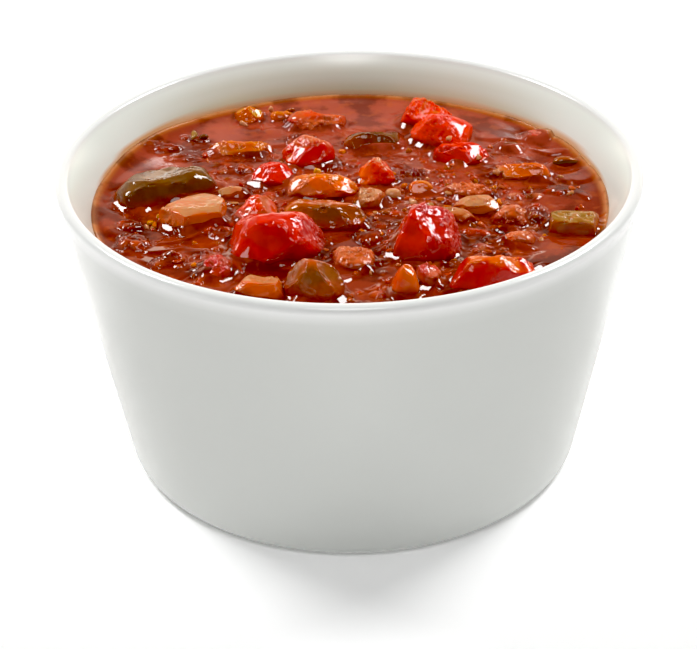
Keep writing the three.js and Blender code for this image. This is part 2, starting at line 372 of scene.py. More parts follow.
def smooth_step(value, low, high):
    """0 below low, 1 above high and a smooth step between."""
    part = np.clip((value - low) / (high - low), 0, 1)
    return part * part * (3 - 2 * part)


def toned(tones, colour, share):
    """Tones with a share of a colour mixed in at each point. Both can be one colour or one each."""
    return np.array(tones) * (1 - share[:, None]) + np.array(colour) * share[:, None]


def put_values(piece, name, values):
    """Puts a number or a colour on each vertex, for the piece's material to read."""
    if values.ndim == 1:
        piece.data.attributes.new(name, "FLOAT", "POINT").data.foreach_set("value", values)
        return
    layer = piece.data.color_attributes.new(name, "FLOAT_COLOR", "POINT")
    layer.data.foreach_set("color", np.column_stack([values, np.ones(len(values))]).ravel())


# The glaze is cool white inside. The outside has a darker copy of it, which is painted shade, with a
# lighter band on the lip's outside, which is painted light, and the top of the rim is darker, which is
# painted shade. At the back the inner wall is painted darker as shade, and lower down warmer and darker,
# which is painted shade and a painted reflection of the sauce. An orange band follows the sauce's edge
# all round: partly a stain, partly the sauce's reflection painted on. Each FADE says between which
# heights a tone fades, and BACK_SIDE how far round from the bowl's sides to its back the back begins.
GLAZE_OUTSIDE_SHADED = (0.67, 0.684, 0.655)
GLAZE_LIP_LIT = (0.9, 0.905, 0.89)
LIP_FADE = (51, 53.2)
GLAZE_RIM_SHADED = (0.76, 0.77, 0.75)
RIM_FADE = (54.2, 54.8)
GLAZE_INSIDE = (0.86, 0.92, 0.85)
GLAZE_BACK_SHADE = (0.73, 0.77, 0.66)
BACK_FADE = (51.5, 54)
GLAZE_LOW_SHADE_AND_REFLECTION = (0.67, 0.67, 0.49)
LOW_FADE = (48.5, 51)
GLAZE_STAIN_AND_REFLECTION = (0.74, 0.42, 0.2)
STAIN_AND_REFLECTION_HEIGHT = 0.3
BACK_SIDE = (0.45, 0.9)
WALL_THICKNESS = 1.2
# The sauce has run up the wall at the back's left and right: azimuth and height.
RUN_UPS = ((147, 1.5), (27, 1.2))
RUN_UP_SPREAD = 20


def run_up(x, y):
    """Height to which the sauce has run up the wall in a direction: a bell curve of the azimuth for
    each run-up, added up."""
    azimuth = np.degrees(np.arctan2(y, x))
    return sum(rise * np.exp(-(((azimuth - at) / RUN_UP_SPREAD) ** 2)) for at, rise in RUN_UPS)


def glaze_tones(points):
    """Tone of the glaze by its height on the wall, by which face of the wall it is on, and on the inner
    wall by how far round to the back it is. Much of it is painted light and shade, and some a stain."""
    radius = np.hypot(points[:, 0], points[:, 1])
    z = points[:, 2]
    inside = (radius < outer_radius(z) - WALL_THICKNESS) & (z > FLOOR_LEVEL - 1)
    behind = smooth_step(points[:, 1] / np.maximum(radius, 1), *BACK_SIDE)
    stain_and_reflection_level = SAUCE_LEVEL + STAIN_AND_REFLECTION_HEIGHT + run_up(points[:, 0], points[:, 1])
    # The outside gets a darker copy of the glaze: painted shade.
    tone = np.where(inside[:, None], GLAZE_INSIDE, GLAZE_OUTSIDE_SHADED)
    # Painted shade on the back of the inner wall.
    tone = toned(tone, GLAZE_BACK_SHADE, inside * behind * (1 - smooth_step(z, *BACK_FADE)))
    # Lower on the back wall, painted shade and a painted reflection of the sauce.
    tone = toned(tone, GLAZE_LOW_SHADE_AND_REFLECTION, inside * behind * (1 - smooth_step(z, *LOW_FADE)))
    # An orange band over the sauce's edge: partly stain, partly a painted reflection of the sauce.
    tone = toned(tone, GLAZE_STAIN_AND_REFLECTION, inside * (1 - smooth_step(z - stain_and_reflection_level, 0, 0.5 + 0.8 * behind)))
    # A lighter band on the lip's outside: painted light.
    tone = toned(tone, GLAZE_LIP_LIT, ~inside * smooth_step(z, *LIP_FADE))
    # A darker top of the rim: painted shade.
    return toned(tone, GLAZE_RIM_SHADED, smooth_step(z, *RIM_FADE))


bowl = turned("glazed_bowl", bowl_profile(), BOWL_SIDES)
bowl_points = np.empty(len(bowl.data.vertices) * 3)
bowl.data.vertices.foreach_get("co", bowl_points)
put_values(bowl, "tone", glaze_tones(bowl_points.reshape(-1, 3) / MM))
bowl.data.materials.append(glaze())
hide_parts("bowl")


# The cut vegetables. Each is an uneven block with flat knife cuts, soft from cooking and wet all
# over: tomato with its skin, strips of green pepper, onion and pulp. They float, their tops showing.
RED = (0.62, 0.026, 0.01)
DEEP_RED = (0.5, 0.019, 0.012)
BRIGHT_RED = (0.92, 0.06, 0.006)
PINK = (0.56, 0.05, 0.026)
CRIMSON = (0.5, 0.03, 0.02)
ORANGE_RED = (0.72, 0.036, 0.003)
ORANGE = (0.64, 0.11, 0.006)
BRIGHT_ORANGE = (0.92, 0.165, 0.015)
AMBER = (0.6, 0.15, 0.004)
YELLOW = (0.6, 0.27, 0.008)
OLIVE = (0.15, 0.04, 0.002)
OLIVE_BROWN = (0.22, 0.03, 0.002)
# The brown of a sauce film, pinkish as a painted sheen, on a pepper's top.
FILM_BROWN_AND_SHEEN = (0.19, 0.08, 0.02)
OLIVE_GREEN = (0.33, 0.16, 0.03)
YELLOW_OLIVE = (0.33, 0.07, 0.002)
CREAM = (0.6, 0.28, 0.13)
BEIGE = (0.52, 0.22, 0.085)
BROWN_ORANGE = (0.45, 0.08, 0.012)
FLESH_ORANGE = (0.58, 0.12, 0.03)
PALE_PINK = (0.62, 0.16, 0.1)
DARK_PULP = (0.4, 0.035, 0.01)
# Wet flesh that leans this way, azimuth and elevation, mirrors a soft box to the camera.
LEFT_SHINE = (-136, 58)
RIGHT_SHINE = (-44, 58)


def cut(at, rise, size, turn=0, plan=2.6, side=2.4, taper=0.0, bend=0.0, tones=(RED, RED, RED), cuts=(),
        crust=0.5, torn=None):
    """One piece's facts: its middle in plan, its height over the sauce, its length, width and depth,
    and the angle of its length; how square its plan and its section are, and how much it narrows and
    bows along its length. tones are the colours of its sides, its top and its left end. Each of its
    cuts faces an azimuth and an elevation and keeps a share of the block's reach, and can have its own
    softness. crust is how broken the piece is, and torn the direction in plan of its broken side."""
    return dict(at=at, rise=rise, size=size, turn=turn, plan=plan, side=side, taper=taper, bend=bend,
                tones=tones, cuts=cuts, crust=crust, torn=torn)


# Each piece's name starts with its food.
CUTS = {
    "tomato_left": cut((-12.6, -16.9), 5.9, (16.8, 11.4, 10), 6, side=2.2, taper=0.15,
        tones=(DEEP_RED, RED, ORANGE_RED), crust=0.45, torn=20, cuts=((-98, 40, 0.84),
        (110, 62, 0.94, 0.05), (180, 36, 0.86, 0.35), (-10, 40, 0.84, 0.3), (*RIGHT_SHINE, 0.93))),
    "tomato_right": cut((12.3, -16.6), 7, (12, 12.6, 12), -20, plan=2.4, side=1.7,
        tones=(DEEP_RED, CRIMSON, BRIGHT_RED), crust=0.7, torn=-5, cuts=((-120, 30, 0.82),
        (*RIGHT_SHINE, 0.79), (-10, 30, 0.8), (80, 50, 0.86), (172, 22, 0.66))),
    "tomato_by_lip": cut((22.9, -29.3), 4.2, (13.2, 6.4, 8.2), 8,
        tones=(DEEP_RED, ORANGE, DEEP_RED), torn=30, cuts=((-98, 34, 0.88), (85, 56, 0.9),
        (*RIGHT_SHINE, 0.94), (175, 40, 0.88))),
    "tomato_cone": cut((9, -31.8), 4.7, (4.6, 4.8, 7.6), side=1.4,
        tones=(ORANGE, BRIGHT_ORANGE, ORANGE), cuts=((-100, 20, 0.85), (*RIGHT_SHINE, 0.82)), crust=0.2),
    "tomato_back": cut((17.2, 25.4), 4.6, (10.8, 8.2, 8.6), -22,
        tones=(BRIGHT_RED, ORANGE_RED, BRIGHT_RED), crust=0.7, cuts=((-105, 28, 0.82),
        (*RIGHT_SHINE, 0.86), (75, 58, 0.84), (165, 45, 0.86), (20, 65, 0.86))),
    "tomato_back_flap": cut((14.6, 33.4), 4.2, (9.2, 5.2, 6.4), -8,
        tones=(BRIGHT_RED, ORANGE, BRIGHT_RED), crust=1.0, cuts=((-95, 40, 0.8), (170, 30, 0.76),
        (40, 50, 0.8))),
    "tomato_low": cut((20.2, 16.4), 2.9, (9.9, 5.8, 6), -12, tones=(RED, ORANGE_RED, DEEP_RED),
        torn=20, crust=0.9, cuts=((-112, 34, 0.82), (*RIGHT_SHINE, 0.86), (95, 50, 0.9))),
    "tomato_middle": cut((-7.6, 17.2), 4.2, (8.8, 7.2, 7), 10,
        tones=(RED, FLESH_ORANGE, ORANGE_RED), cuts=((-80, 34, 0.88), (*LEFT_SHINE, 0.78),
        (150, 45, 0.86), (60, 50, 0.88)), crust=0.9, torn=170),
    "tomato_ball": cut((-14, 9.6), 2.6, (7.4, 7.2, 6), tones=(RED, RED, ORANGE_RED),
        cuts=((*RIGHT_SHINE, 0.84), (*LEFT_SHINE, 0.88)), crust=0.9, torn=30),
    "tomato_peak": cut((5.1, 8.6), 4.3, (5.9, 5, 6.8), side=1.7,
        tones=(ORANGE_RED, CREAM, BRIGHT_ORANGE), crust=0.9, cuts=((-110, 25, 0.8), (*RIGHT_SHINE, 0.84),
        (0, 40, 0.75))),
    "tomato_far": cut((-6, 33), 2.5, (10.6, 6, 5.2), tones=(FLESH_ORANGE, FLESH_ORANGE, PINK),
        cuts=((-80, 40, 0.8), (60, 60, 0.8)), crust=1.0, torn=-90),
    "tomato_flap": cut((-16.1, -4.7), 3.9, (7.4, 6, 6), 25, side=1.5,
        tones=(FLESH_ORANGE, ORANGE_RED, PALE_PINK), crust=1.0, torn=190, cuts=((*LEFT_SHINE, 0.76),
        (-20, 46, 0.7), (100, 40, 0.74), (170, 42, 0.78))),
    "tomato_bit": cut((34.6, 25), 1.2, (5, 2.8, 2.9), -32, tones=(PINK, PALE_PINK, PINK),
        crust=1.0),
    # pepper_left's top is tinted with its sauce film and a painted sheen.
    "pepper_left": cut((-32.9, 4.9), 3.6, (18.6, 9, 7.5), 24, plan=2.4, bend=-1.2,
        tones=(OLIVE, FILM_BROWN_AND_SHEEN, OLIVE), crust=0.3, cuts=((-68, 28, 0.84), (114, 79, 0.86),
        (20, 30, 0.94), (-160, 26, 0.97))),
    "pepper_middle": cut((-4.4, -6.6), 3, (13.2, 6.2, 6), -13, bend=0.6,
        tones=(YELLOW_OLIVE, BROWN_ORANGE, AMBER), torn=-10, crust=0.7, cuts=((-100, 36, 0.86),
        (80, 78, 0.88), (*RIGHT_SHINE, 0.92))),
    "pepper_front": cut((-6, -31.4), 5.3, (9.2, 7.4, 8.8), -12, side=1.9,
        tones=(YELLOW_OLIVE, BROWN_ORANGE, YELLOW_OLIVE), crust=0.2, cuts=((-98, 26, 0.88),
        (-25, 46, 0.84), (-165, 44, 0.84), (80, 50, 0.9))),
    "pepper_back": cut((4.6, 24), 2.2, (10.6, 6.4, 5.2), 6,
        tones=(OLIVE_BROWN, OLIVE, YELLOW_OLIVE), cuts=((-90, 40, 0.8), (90, 60, 0.8))),
    "pepper_right": cut((38.2, -10.6), 2.2, (8.8, 5.6, 4.8), -8, plan=3.4, side=3.2,
        tones=(YELLOW_OLIVE, OLIVE_GREEN, YELLOW_OLIVE), torn=0, crust=0.8, cuts=((95, 84, 0.94),
        (-98, 14, 0.9), (-15, 20, 0.92), (172, 14, 0.92))),
    "pepper_sliver": cut((17.6, -7.4), 1.7, (7.6, 3.8, 3.4), -16, plan=2.2, taper=0.3,
        tones=(BROWN_ORANGE, BEIGE, AMBER), crust=0.9, torn=-60),
    "pepper_bit_back": cut((29.6, 21.2), 0.9, (4.2, 2.6, 2.3),
        tones=(OLIVE_BROWN, OLIVE_BROWN, OLIVE)),
    "pepper_bit_wall": cut((39.4, 14.4), 1.1, (4.4, 2.3, 2.5),
        tones=(OLIVE, YELLOW_OLIVE, OLIVE)),
    "pepper_bit_front": cut((-29, -20.4), 1.3, (2.7, 2.2, 2.6), 30,
        tones=(OLIVE, OLIVE_GREEN, OLIVE)),
    "onion_left": cut((-26.8, -5.2), 2.8, (11.8, 8.6, 4.8), 24, plan=3.2, side=3.6,
        tones=(ORANGE, BEIGE, ORANGE), crust=0.4, torn=195, cuts=((100, 85, 0.92), (-128, 18, 0.84),
        (-72, 18, 0.92), (-5, 16, 0.88), (60, 12, 0.94), (135, 14, 0.86))),
    "onion_right": cut((22.5, -3.6), 2.2, (7.6, 4.4, 4.4), 6, plan=3,
        tones=(AMBER, BEIGE, BROWN_ORANGE), crust=0.7, torn=190, cuts=((-95, 68, 0.92), (-90, 14, 0.88),
        (*RIGHT_SHINE, 0.93), (30, 30, 0.84))),
    "onion_bit_left": cut((-20.9, 3), 1.6, (4.6, 2.8, 2.8), 4, plan=3,
        tones=(PINK, BEIGE, BEIGE), cuts=((-95, 60, 0.8),)),
    "onion_bit_middle": cut((7.6, 2), 1.3, (2.7, 2.2, 2.5), tones=(BEIGE, CREAM, BEIGE)),
    "pale_tomato_middle": cut((-5.1, 3.6), 3.4, (11.4, 4.8, 5.8), -4, plan=3,
        tones=(BRIGHT_ORANGE, AMBER, CREAM), crust=0.9, torn=0, cuts=((-95, 32, 0.88), (90, 66, 0.95),
        (*LEFT_SHINE, 0.9), (*RIGHT_SHINE, 0.86))),
    "pale_tomato_front": cut((-14.9, -31.6), 3.1, (7.6, 4.8, 6), 2, plan=3.2, side=3,
        tones=(ORANGE, BEIGE, BROWN_ORANGE), crust=0.6, torn=60, cuts=((90, 78, 0.66), (-95, 24, 0.86),
        (*LEFT_SHINE, 0.93), (0, 20, 0.92), (150, 40, 0.9))),
    "pale_tomato_right": cut((31.2, 9.6), 2.3, (9.6, 4.2, 4.8), plan=3,
        tones=(ORANGE, ORANGE, BEIGE), torn=180, crust=0.8, cuts=((-92, 44, 0.88), (90, 60, 0.95),
        (*LEFT_SHINE, 0.86))),
    "pale_tomato_long": cut((-20, 20.9), 1.9, (11.8, 4, 3.8), 3,
        tones=(ORANGE, AMBER, CREAM), cuts=((-90, 50, 0.8), (*LEFT_SHINE, 0.8), (*RIGHT_SHINE, 0.86)),
        crust=0.9),
    "pale_tomato_back": cut((-19, 36.2), 2.2, (5, 4.4, 4.2), tones=(ORANGE, YELLOW, AMBER),
        cuts=((-100, 35, 0.8), (*RIGHT_SHINE, 0.86), (60, 50, 0.8), (150, 60, 0.8)), crust=0.7),
    "pale_tomato_back_bit": cut((-12.6, 35.4), 1.6, (4.4, 3, 3.2),
        tones=(BROWN_ORANGE, AMBER, ORANGE), crust=1.0),
    "pale_tomato_bit": cut((12.6, 3.6), 1.8, (4, 2.8, 3.2), tones=(ORANGE, AMBER, ORANGE),
        cuts=((-95, 40, 0.8),), crust=0.3),
    "pulp_right": cut((20.8, 2.6), 1.7, (7.6, 3.8, 3.9),
        tones=(FLESH_ORANGE, FLESH_ORANGE, BEIGE), crust=1, cuts=((*LEFT_SHINE, 0.84),)),
    "pulp_by_onion": cut((27.9, -7.6), 2, (5.8, 5.2, 4.4), -20,
        tones=(BROWN_ORANGE, FLESH_ORANGE, RED), crust=1, cuts=((*RIGHT_SHINE, 0.84),)),
    "pulp_by_lip": cut((28.8, -15.4), 1.8, (5.4, 4, 4), -20,
        tones=(BROWN_ORANGE, FLESH_ORANGE, RED), crust=1),
    "pulp_middle": cut((3.6, -0.4), 2.3, (4.7, 4.6, 4.6), tones=(BROWN_ORANGE, BEIGE, BEIGE),
        crust=1, cuts=((*LEFT_SHINE, 0.84),)),
    "pulp_by_cone": cut((12.8, -28.8), 2.8, (3.8, 3.6, 4.8), tones=(DARK_PULP, PINK, DARK_PULP),
        crust=1, cuts=((*RIGHT_SHINE, 0.8),)),
    "pulp_left": cut((-22, -25), 2.2, (4.6, 6.4, 4.8), tones=(DARK_PULP, CRIMSON, DARK_PULP),
        crust=1, cuts=((*LEFT_SHINE, 0.84),)),
    "pulp_front": cut((0.4, -21.6), 2, (6.6, 6.4, 4.6),
        tones=(BROWN_ORANGE, FLESH_ORANGE, DARK_PULP), crust=0.7),
}

# How uneven a block is, and how much larger it starts, as its cuts and its round corners take from it.
UNEVEN = 0.05
GROWN = 1.08
# Relief of each food, in millimetres: its lumps' width and height, its fine wrinkles' width and
# height, and how soft its cut edges are.
RELIEF = {
    "tomato": ((5.0, 1.1), (1.3, 0.03), 0.09),
    "pale_tomato": ((3.2, 0.7), (1.1, 0.03), 0.08),
    "pepper": ((4.0, 0.8), (1.4, 0.05), 0.07),
    "onion": ((6.0, 0.1), (1.4, 0.01), 0.05),
    "pulp": ((2.6, 1.0), (1.1, 0.05), 0.2),
}
# Broken flesh has balls, grit and nicks, all skin has shallow dents, and cut edges are chipped. The
# onion is the calm one.
CRUST_WIDTH = 1.0
CRUST_HEIGHT = 0.2
GRIT_WIDTH = 0.7
GRIT_HEIGHT = 0.32
NICK_WIDTH = 1.9
NICK_DEPTH = 0.5
DENT_WIDTH = 2.2
DENT_HEIGHT = 0.18
CHIP_WIDTH = 1.2
CHIP_HEIGHT = 0.4
ONION_CALM = 0.05
# A ball's least radius and how much is added at random, in lattice cells, and how blunt it is.
BALL_RADIUS = 0.35
BALL_RANGE = 0.4
BALL_BLUNTNESS = 0.7
# Widths of the random fields: where flesh is broken, its ragged limits, and the patches of tone.
BROKEN_WIDTH = 3.0
RAGGED_WIDTH = 1.5
PATCH_WIDTH = 2.6
PATCH_SHARE = 0.5
FLESH = (0.6, 0.1, 0.03)
FLESH_SHARE = 0.35
PATCH = {
    "tomato": (0.7, 0.03, 0.005),
    "pale_tomato": (0.66, 0.09, 0.006),
    "pepper": (0.2, 0.07, 0.004),
    "onion": (0.58, 0.15, 0.04),
    "pulp": (0.55, 0.16, 0.06),
}
RANDOM_NUMBERS = np.random.default_rng(11).random(4096)


def random_number(cell, seed, draw=0):
    """A number from 0 to 1 for each cell of a lattice: its three indices and the seed are multiplied by
    primes and mixed bit by bit, and the result picks one of the random numbers."""
    mixed = cell[..., 0] * 73856093 ^ cell[..., 1] * 19349663 ^ cell[..., 2] * 83492791 ^ seed * 7919
    return RANDOM_NUMBERS[(mixed + 1013 * draw) % len(RANDOM_NUMBERS)]


def field(points, width, seed):
    """Smooth random field from 0 to 1: random numbers on a cubic lattice, blended by a smooth step."""
    place = points / width + seed * 0.37
    cell = np.floor(place).astype(np.int64)
    part = place - cell
    part = part * part * (3 - 2 * part)
    total = np.zeros(points.shape[:-1])
    for corner in np.ndindex(2, 2, 2):
        weight = np.prod(np.where(np.array(corner) == 1, part, 1 - part), axis=-1)
        total += weight * random_number(cell + np.array(corner), seed)
    return total


def lumps(points, width, seed):
    """Balls of random size on a jittered lattice: how far each point is inside the ball that holds it
    deepest, 0 outside all of them and 1 at a middle, and that ball's own number from 0 to 1."""
    place = points / width
    cell = np.floor(place).astype(np.int64)
    inside = np.zeros(len(points))
    number = np.zeros(len(points))
    for corner in np.ndindex(3, 3, 3):
        near = cell + np.array(corner) - 1
        random = [random_number(near, seed, draw) for draw in range(5)]
        away = place - near - np.stack(random[:3], -1)
        depth = 1 - np.sum(away**2, -1) / (BALL_RADIUS + BALL_RANGE * random[3]) ** 2
        deeper = depth > inside
        inside = np.where(deeper, depth, inside)
        number = np.where(deeper, random[4], number)
    return inside**BALL_BLUNTNESS, number


def turned_by(dx, dy, turn):
    """The parts of a step in plan along and across a direction in degrees. With the angle's sign
    changed it is the step turned by the angle."""
    angle = np.radians(turn)
    return dx * np.cos(angle) + dy * np.sin(angle), dy * np.cos(angle) - dx * np.sin(angle)


def drawn(value, power):
    """A cosine or sine drawn out towards a square: the sign times the size to a power."""
    return np.sign(value) * np.abs(value) ** power


def block(spec, seed, around, levels):
    """Points from a block's bottom to its top: its plan and section are drawn-out circles, swollen by
    sines of the two angles, tapered and bowed along its length, then turned and placed."""
    u = np.linspace(0, 2 * np.pi, around, endpoint=False)
    v = np.linspace(-np.pi / 2, np.pi / 2, levels + 1)[1:-1, None]
    length, width, depth = (s / 2 * GROWN for s in spec["size"])
    out = drawn(np.cos(v), 2 / spec["side"])
    bump = np.sin(3 * u + seed) + 0.6 * np.sin(2 * u + 3 * v + 2.1 * seed)
    swell = 1 + UNEVEN * np.cos(v) * bump
    x = length * out * drawn(np.cos(u), 2 / spec["plan"]) * swell
    along = x / length
    y = width * out * drawn(np.sin(u), 2 / spec["plan"]) * swell * (1 - spec["taper"] * along)
    y = y + spec["bend"] * (along**2 - 0.4)
    z = depth * drawn(np.sin(v), 2 / spec["side"]) * (1 + UNEVEN * np.cos(v) * np.cos(2 * u + 1.7 * seed))
    grid = np.stack([*turned_by(x, y, -spec["turn"]), z], -1)
    bow = turned_by(0, -0.4 * spec["bend"], -spec["turn"])
    return np.concatenate([[[*bow, -depth]], grid.reshape(-1, 3), [[*bow, depth]]])


def sliced(points, spec, softness):
    """Draws points in to the knife cuts, which are planes: each point keeps the smallest share of its
    distance from the middle, with a soft join. Also returns how near each is to a cut edge."""
    half = np.array(spec["size"]) / 2
    turn = np.radians(spec["turn"])
    kept = np.ones(len(points))
    edge = np.zeros(len(points))
    for azimuth, elevation, keep, *own_softness in spec["cuts"]:
        a, e = np.radians([azimuth, elevation])
        facing = np.array([np.cos(e) * np.cos(a), np.cos(e) * np.sin(a), np.sin(e)])
        own = np.array([np.cos(e) * np.cos(a - turn), np.cos(e) * np.sin(a - turn), np.sin(e)])
        reach = keep * GROWN * np.linalg.norm(half * own)
        share = reach / np.maximum(points @ facing, 1e-3)
        soft = own_softness[0] if own_softness else softness
        join = np.clip(1 - np.abs(kept - share) / soft, 0, 1)
        kept = np.minimum(kept, share) - join**2 * soft / 4
        edge = np.maximum(edge * (kept > 0), join)
    return points * kept[:, None], edge


FILM_WAVES = 0.01
FOOD_SHADE = (0.55, 0.4, 0.35)


def wet_surface(finish, colour, roughness, height, soft, depth):
    """Food under a clear wet film. height gives its fine bumps, soft is the share of the light that
    goes into it and depth how deep, in metres."""
    return finish.surface({
        "Base Color": colour,
        "Roughness": roughness,
        "IOR": 1.38,
        "Subsurface Weight": soft,
        "Subsurface Radius": (1.0, 0.25, 0.1),
        "Subsurface Scale": depth,
        "Normal": finish.bump(height),
    })


def wet_food(name, mottle, grit, rough, soft):
    """Cooked vegetable under a wet film: its own tone, mottled, and a film that is smooth over the
    skin and broken into small bumps where the crust value is high."""
    finish = Finish(bpy.data.materials.new(name))
    spots = finish.noise(700, 4)
    tone = finish.stored("tone", "Color")
    shaded = finish.mix(spots.step(0.45, 0.7) * mottle, tone, FOOD_SHADE, "MULTIPLY")
    height = finish.noise(1000, 2) * (finish.stored("crust", "Fac") * grit + FILM_WAVES)
    return wet_surface(finish, shaded, rough + spots * 0.03, height, soft, 1.5 * MM)


# Each food's name, mottle, grit, roughness and softness.
FOOD_FINISH = {
    "tomato": wet_food("wet_tomato", 0.2, 0.3, 0.02, 0.35),
    "pale_tomato": wet_food("wet_pale_tomato", 0.25, 0.35, 0.02, 0.4),
    "pepper": wet_food("wet_pepper", 0.4, 0.3, 0.03, 0.3),
    "onion": wet_food("wet_onion", 0.15, 0.3, 0.05, 0.4),
    "pulp": wet_food("wet_pulp", 0.25, 0.6, 0.02, 0.4),
}
# A piece longer than LARGE_CUT has the fine grid: its points around and its levels.
LARGE_CUT = 9
LARGE_GRID = (200, 132)
SMALL_GRID = (100, 66)
# The sauce stains each food up to this share of its height over the sauce, at most this strongly.
STAIN_SHARE = {"tomato": 0.42, "pale_tomato": 0.5, "pepper": 0.6, "onion": 0.4, "pulp": 0.6}
STAIN = 0.8
STAIN_WIDTH = 2.2
STAIN_WOBBLE = 2.0
STAIN_RED = (0.3, 0.022, 0.003)
# The outline of every piece, taken a little over the sauce, for the sauce to climb at.
SHORE_HEIGHT = 0.3
shores = []


def shore(points, levels, around, spec):
    """A piece's outline a little over the sauce: for each direction its reach and how it changes."""
    grid = points[1:-1].reshape(levels - 1, around, 3)
    over = grid[..., 2] > SAUCE_LEVEL + SHORE_HEIGHT
    reach = np.hypot(grid[..., 0] - spec["at"][0], grid[..., 1] - spec["at"][1])
    widest = np.argmax(np.where(over, reach, -1), axis=0)
    edge = grid[widest, np.arange(around)]
    angle = np.arctan2(edge[:, 1] - spec["at"][1], edge[:, 0] - spec["at"][0])
    order = np.argsort(angle)
    turns = np.linspace(-np.pi, np.pi, 361)
    radius = np.interp(turns, angle[order], reach[widest, np.arange(around)][order], period=2 * np.pi)
    return np.array(spec["at"]), turns, radius, np.gradient(radius, turns) / radius


def cut_piece(name, spec, seed):
    """One vegetable piece: its block, its cuts, the lumps and wrinkles pushed out of it and its tones."""
    food = spec["food"]
    crust = spec["crust"]
    around, levels = LARGE_GRID if spec["size"][0] > LARGE_CUT else SMALL_GRID
    (lump, lump_height), (wrinkle, wrinkle_height), softness = RELIEF[food]
    points, edge = sliced(block(spec, seed, around, levels), spec, softness)
    middle = np.array([*spec["at"], SAUCE_LEVEL + spec["rise"] - spec["size"][2] / 2])
    away = points / np.array(spec["size"]) ** 2
    away /= np.linalg.norm(away, axis=-1, keepdims=True)
    points = points + middle
    rough = field(points, RAGGED_WIDTH, seed + 9)
    ragged = 0.5 * (rough - 0.5)
    patches = field(points, BROKEN_WIDTH, seed + 21)
    broken = smooth_step(patches, 0.75 - 0.45 * crust, 0.95 - 0.35 * crust)
    broken = broken * smooth_step(crust, 0.4, 0.9)
    if spec["torn"] is not None:
        sidewards = turned_by(away[:, 0], away[:, 1], spec["torn"])[0]
        broken = smooth_step(sidewards + ragged, 0.35, 0.7)
    crown = smooth_step(away[:, 2] + ragged, 0.8, 1.0) * smooth_step(crust, 0.3, 1.0) * 0.7
    chipped = 0.8 * edge * smooth_step(rough, 0.5, 0.7) * crust
    broken = np.clip(np.maximum(broken, crown) + chipped, 0, 1)
    calm = ONION_CALM if food == "onion" else 1
    ball, number = lumps(points, CRUST_WIDTH, seed + 60)
    relief = (field(points, lump, seed) - 0.5) * lump_height
    relief += (np.abs(field(points, wrinkle, seed + 50) - 0.5) - 0.25) * wrinkle_height * 2
    relief += (field(points, DENT_WIDTH, seed + 55) - 0.5) * DENT_HEIGHT * calm
    relief += broken * (ball - 0.5) * CRUST_HEIGHT
    relief += broken * (field(points, GRIT_WIDTH, seed + 62) - 0.5) * GRIT_HEIGHT
    relief += edge * (field(points, CHIP_WIDTH, seed + 61) - 0.5) * CHIP_HEIGHT * calm
    relief -= broken * smooth_step(field(points, NICK_WIDTH, seed + 70), 0.6, 0.75) * NICK_DEPTH
    points = points + away * relief[:, None]
    piece = new_piece("cut_" + name, points, ring_faces(levels - 1, around))
    normals = np.empty(len(points) * 3)
    piece.data.vertex_normals.foreach_get("vector", normals)
    along = turned_by(points[:, 0] - spec["at"][0], points[:, 1] - spec["at"][1], spec["turn"])[0]
    height = points[:, 2] - SAUCE_LEVEL + STAIN_WOBBLE * (field(points, STAIN_WIDTH, seed + 44) - 0.5)
    stained = 1 - smooth_step(height, 0, STAIN_SHARE[food] * spec["rise"])
    sides, upper, left = spec["tones"]
    tone = toned(sides, left, smooth_step(-along / spec["size"][0] + 0.7 * ragged, 0.05, 0.5))
    tone = toned(tone, upper, smooth_step(normals[2::3] + ragged, 0.62, 0.98))
    patchy = smooth_step(field(points, PATCH_WIDTH, seed + 31), 0.5, 0.75)
    tone = toned(tone, PATCH[food], PATCH_SHARE * patchy)
    tone = toned(tone, FLESH, FLESH_SHARE * broken * ball * (number > 0.5))
    put_values(piece, "tone", toned(tone, STAIN_RED, stained * STAIN))
    put_values(piece, "crust", np.clip(broken + 0.5 * edge * smooth_step(rough, 0.4, 0.6), 0, 1))
    piece.data.materials.append(FOOD_FINISH[food])
    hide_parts(name)
    shores.append(shore(points, levels, around, spec))


for number, (name, spec) in enumerate(CUTS.items(), 1):
    spec["food"] = next(food for food in RELIEF if name.startswith(food))
    cut_piece(name, spec, number)


# The sauce: thin, glossy and dark red, paler behind, where part of the paler tone is a painted sheen,
# with low waves and lumps of pulp in patches. It climbs at the wall and round every piece, lies over
# small bits as humps and in smooth films, and shows orange where it thins out on the wall.
HUMPS = [cut(*facts) for facts in (
    ((-34.4, 22.8), 0.4, (6.4, 3.6, 1.6), 25), ((-31.3, 18.6), 0.45, (5.6, 2.6, 1.6), 10),
    ((-28.8, 27), 0.35, (5, 2.4, 1.4), -15), ((-36.9, -14.5), 1.1, (5.6, 6, 3)),
    ((-30.6, -21.6), 1.1, (6.8, 5, 3.4)), ((-25, -29.6), 0.6, (3.6, 2.6, 2)),
    ((-38, -8), 0.7, (4.5, 3, 2), 20), ((32.7, -5.6), 1, (4, 5.4, 3)),
    ((24.5, -15.6), 0.7, (5.4, 2.4, 2), -35), ((36.2, 2.8), 0.5, (5.6, 3, 2)),
    ((3.6, -13.2), 1, (5.4, 5.4, 3.2)), ((-8.8, 25.2), 1.2, (6, 4, 3.4)), ((-20, 13.6), 0.6, (5.4, 4, 2)),
    ((11.6, 11), 0.6, (5.4, 3, 2)),
)]
SAUCE_CELLS = 310
# Waves by width and height, and lumps by width, height and the share that shows. The lumps lie
# thickest in the middle, which is given by its place and its half width along X and Y.
WAVES = ((12.0, 1.0), (5.5, 0.3), (2.6, 0.04))
LUMPS = ((2.4, 0.55, 0.5), (1.3, 0.38, 0.6))
LUMPY_MIDDLE = ((8, -1), (24, 13))
MIDDLE_LUMPS = 0.16
BACK_WAVES = 0.35
# Random fields that break up the plain outlines: the width of each and how far it shifts them.
WOBBLE = (1.9, 1.2)
WARP = (2.4, 1.6)
